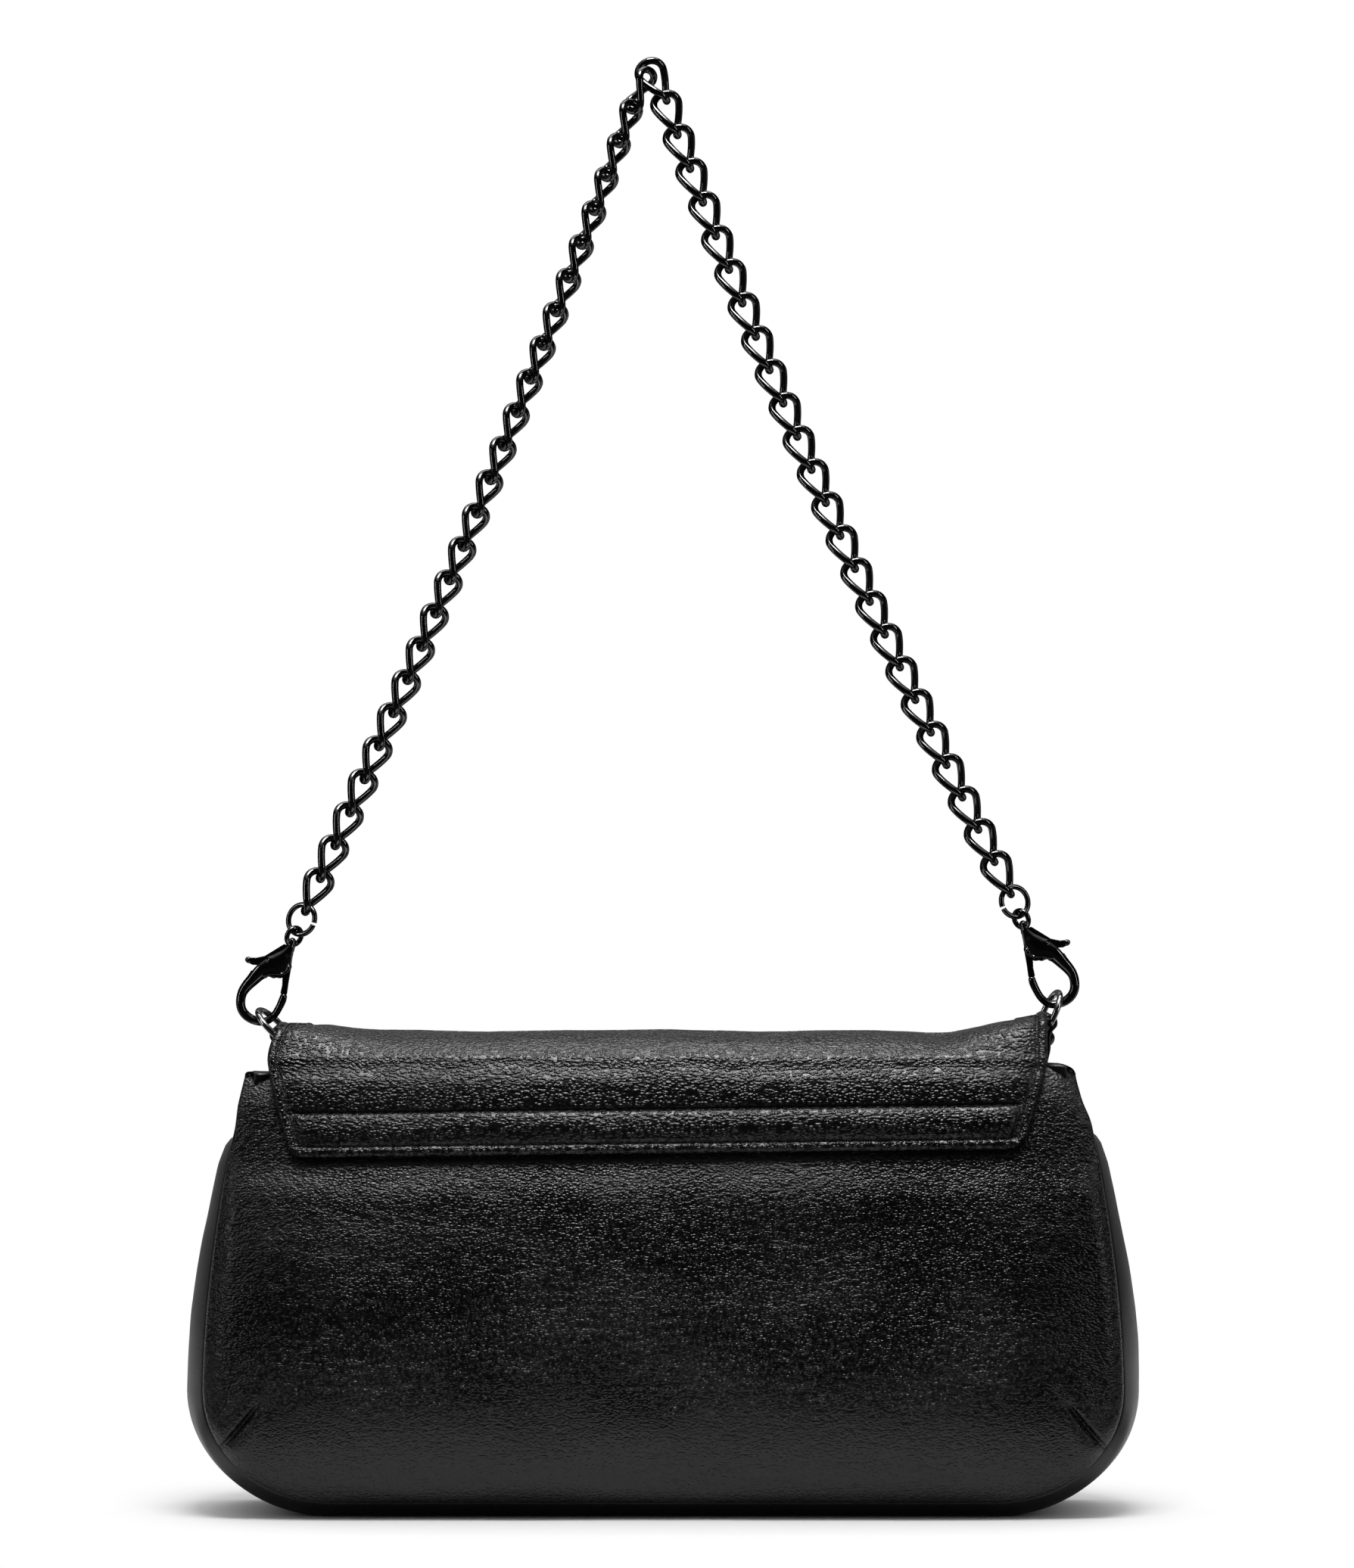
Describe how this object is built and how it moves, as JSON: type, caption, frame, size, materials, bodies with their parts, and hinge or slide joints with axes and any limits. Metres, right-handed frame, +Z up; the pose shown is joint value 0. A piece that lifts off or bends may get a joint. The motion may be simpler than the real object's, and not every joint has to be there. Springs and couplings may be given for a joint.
{
  "type": "shoulder bag",
  "caption": "Small puffy leather shoulder bag with a fold-over flap, magnetic snap, and a curb chain strap on spring clasps and D-rings.",
  "frame": {"origin": "middle of the bounding box's floor, under the bag", "axes": "+Z up, +X to the right seen from the back, the back faces -Y and the flap closes over the front at +Y"},
  "size_m": [0.2702, 0.0694, 0.4131],
  "materials": {
    "leather": "fine pebble grain, soft sheen",
    "lining": "matte twill",
    "board": "fibre board",
    "black_nickel": "polished black nickel",
    "gunmetal": "polished gunmetal"
  },
  "bodies": {
    "bag": {"back_panel": "leather", "front_panel": "leather", "gusset": "leather", "lining": "lining", "mouth_facing": "leather", "base_board": "board", "slip_pocket": "lining", "flap_yoke": "leather", "snap_socket": "gunmetal", "snap_socket_washer": "gunmetal", "ring_tab_left": "leather", "ring_tab_right": "leather", "rivet_left": "black_nickel", "rivet_right": "black_nickel"},
    "flap_crown": {"flap_crown": "leather", "flap_crown_lining": "lining"},
    "flap_front": {"flap_front": "leather", "flap_front_lining": "lining", "snap_stud": "gunmetal", "snap_stud_washer": "gunmetal"},
    "ring_left": {"d_ring_left": "gunmetal"},
    "ring_right": {"d_ring_right": "gunmetal"},
    "strap": {"clasp_body_left": "black_nickel", "clasp_body_right": "black_nickel", "clasp_pin_left": "black_nickel", "clasp_pin_right": "black_nickel", "clasp_spring_left": "black_nickel", "clasp_spring_right": "black_nickel", "jump_ring_left": "black_nickel", "jump_ring_right": "black_nickel", "chain_left": "black_nickel", "chain_right": "black_nickel"},
    "lever_left": {"clasp_lever_left": "black_nickel"},
    "lever_right": {"clasp_lever_right": "black_nickel"}
  },
  "joints": [
    {"name": "flap_lift", "type": "hinge", "parent": "bag", "child": "flap_crown", "pos_m": [0, -0.02049, 0.128], "axis": [1, 0, 0], "range_deg": [0, 42]},
    {"name": "flap_unfold", "type": "hinge", "parent": "flap_crown", "child": "flap_front", "pos_m": [0, 0.02058, 0.13099], "axis": [1, 0, 0], "range_deg": [0, 105]},
    {"name": "ring_left_tilt", "type": "hinge", "parent": "bag", "child": "ring_left", "pos_m": [-0.1086, -0.004, 0.1357], "axis": [0, 1, 0], "range_deg": [0, 20]},
    {"name": "ring_right_tilt", "type": "hinge", "parent": "bag", "child": "ring_right", "pos_m": [0.1086, -0.004, 0.139], "axis": [0, -1, 0], "range_deg": [0, 20]},
    {"name": "strap_swing", "type": "hinge", "parent": "bag", "child": "strap", "pos_m": [-0.00045, -0.004, 0.13978], "axis": [0.9998, 0, 0.0178], "range_deg": [-55, 55]},
    {"name": "lever_left_press", "type": "hinge", "parent": "strap", "child": "lever_left", "pos_m": [-0.10677, -0.004, 0.1577], "axis": [0, 1, 0], "range_deg": [0, 20], "stiffness_Nm_per_rad": 0.004},
    {"name": "lever_right_press", "type": "hinge", "parent": "strap", "child": "lever_right", "pos_m": [0.10355, -0.004, 0.16263], "axis": [0, -1, 0], "range_deg": [0, 20], "stiffness_Nm_per_rad": 0.004}
  ],
  "couplings": [
    {"joint": "flap_unfold", "follows": "flap_lift", "ratio": 2.5}
  ]
}
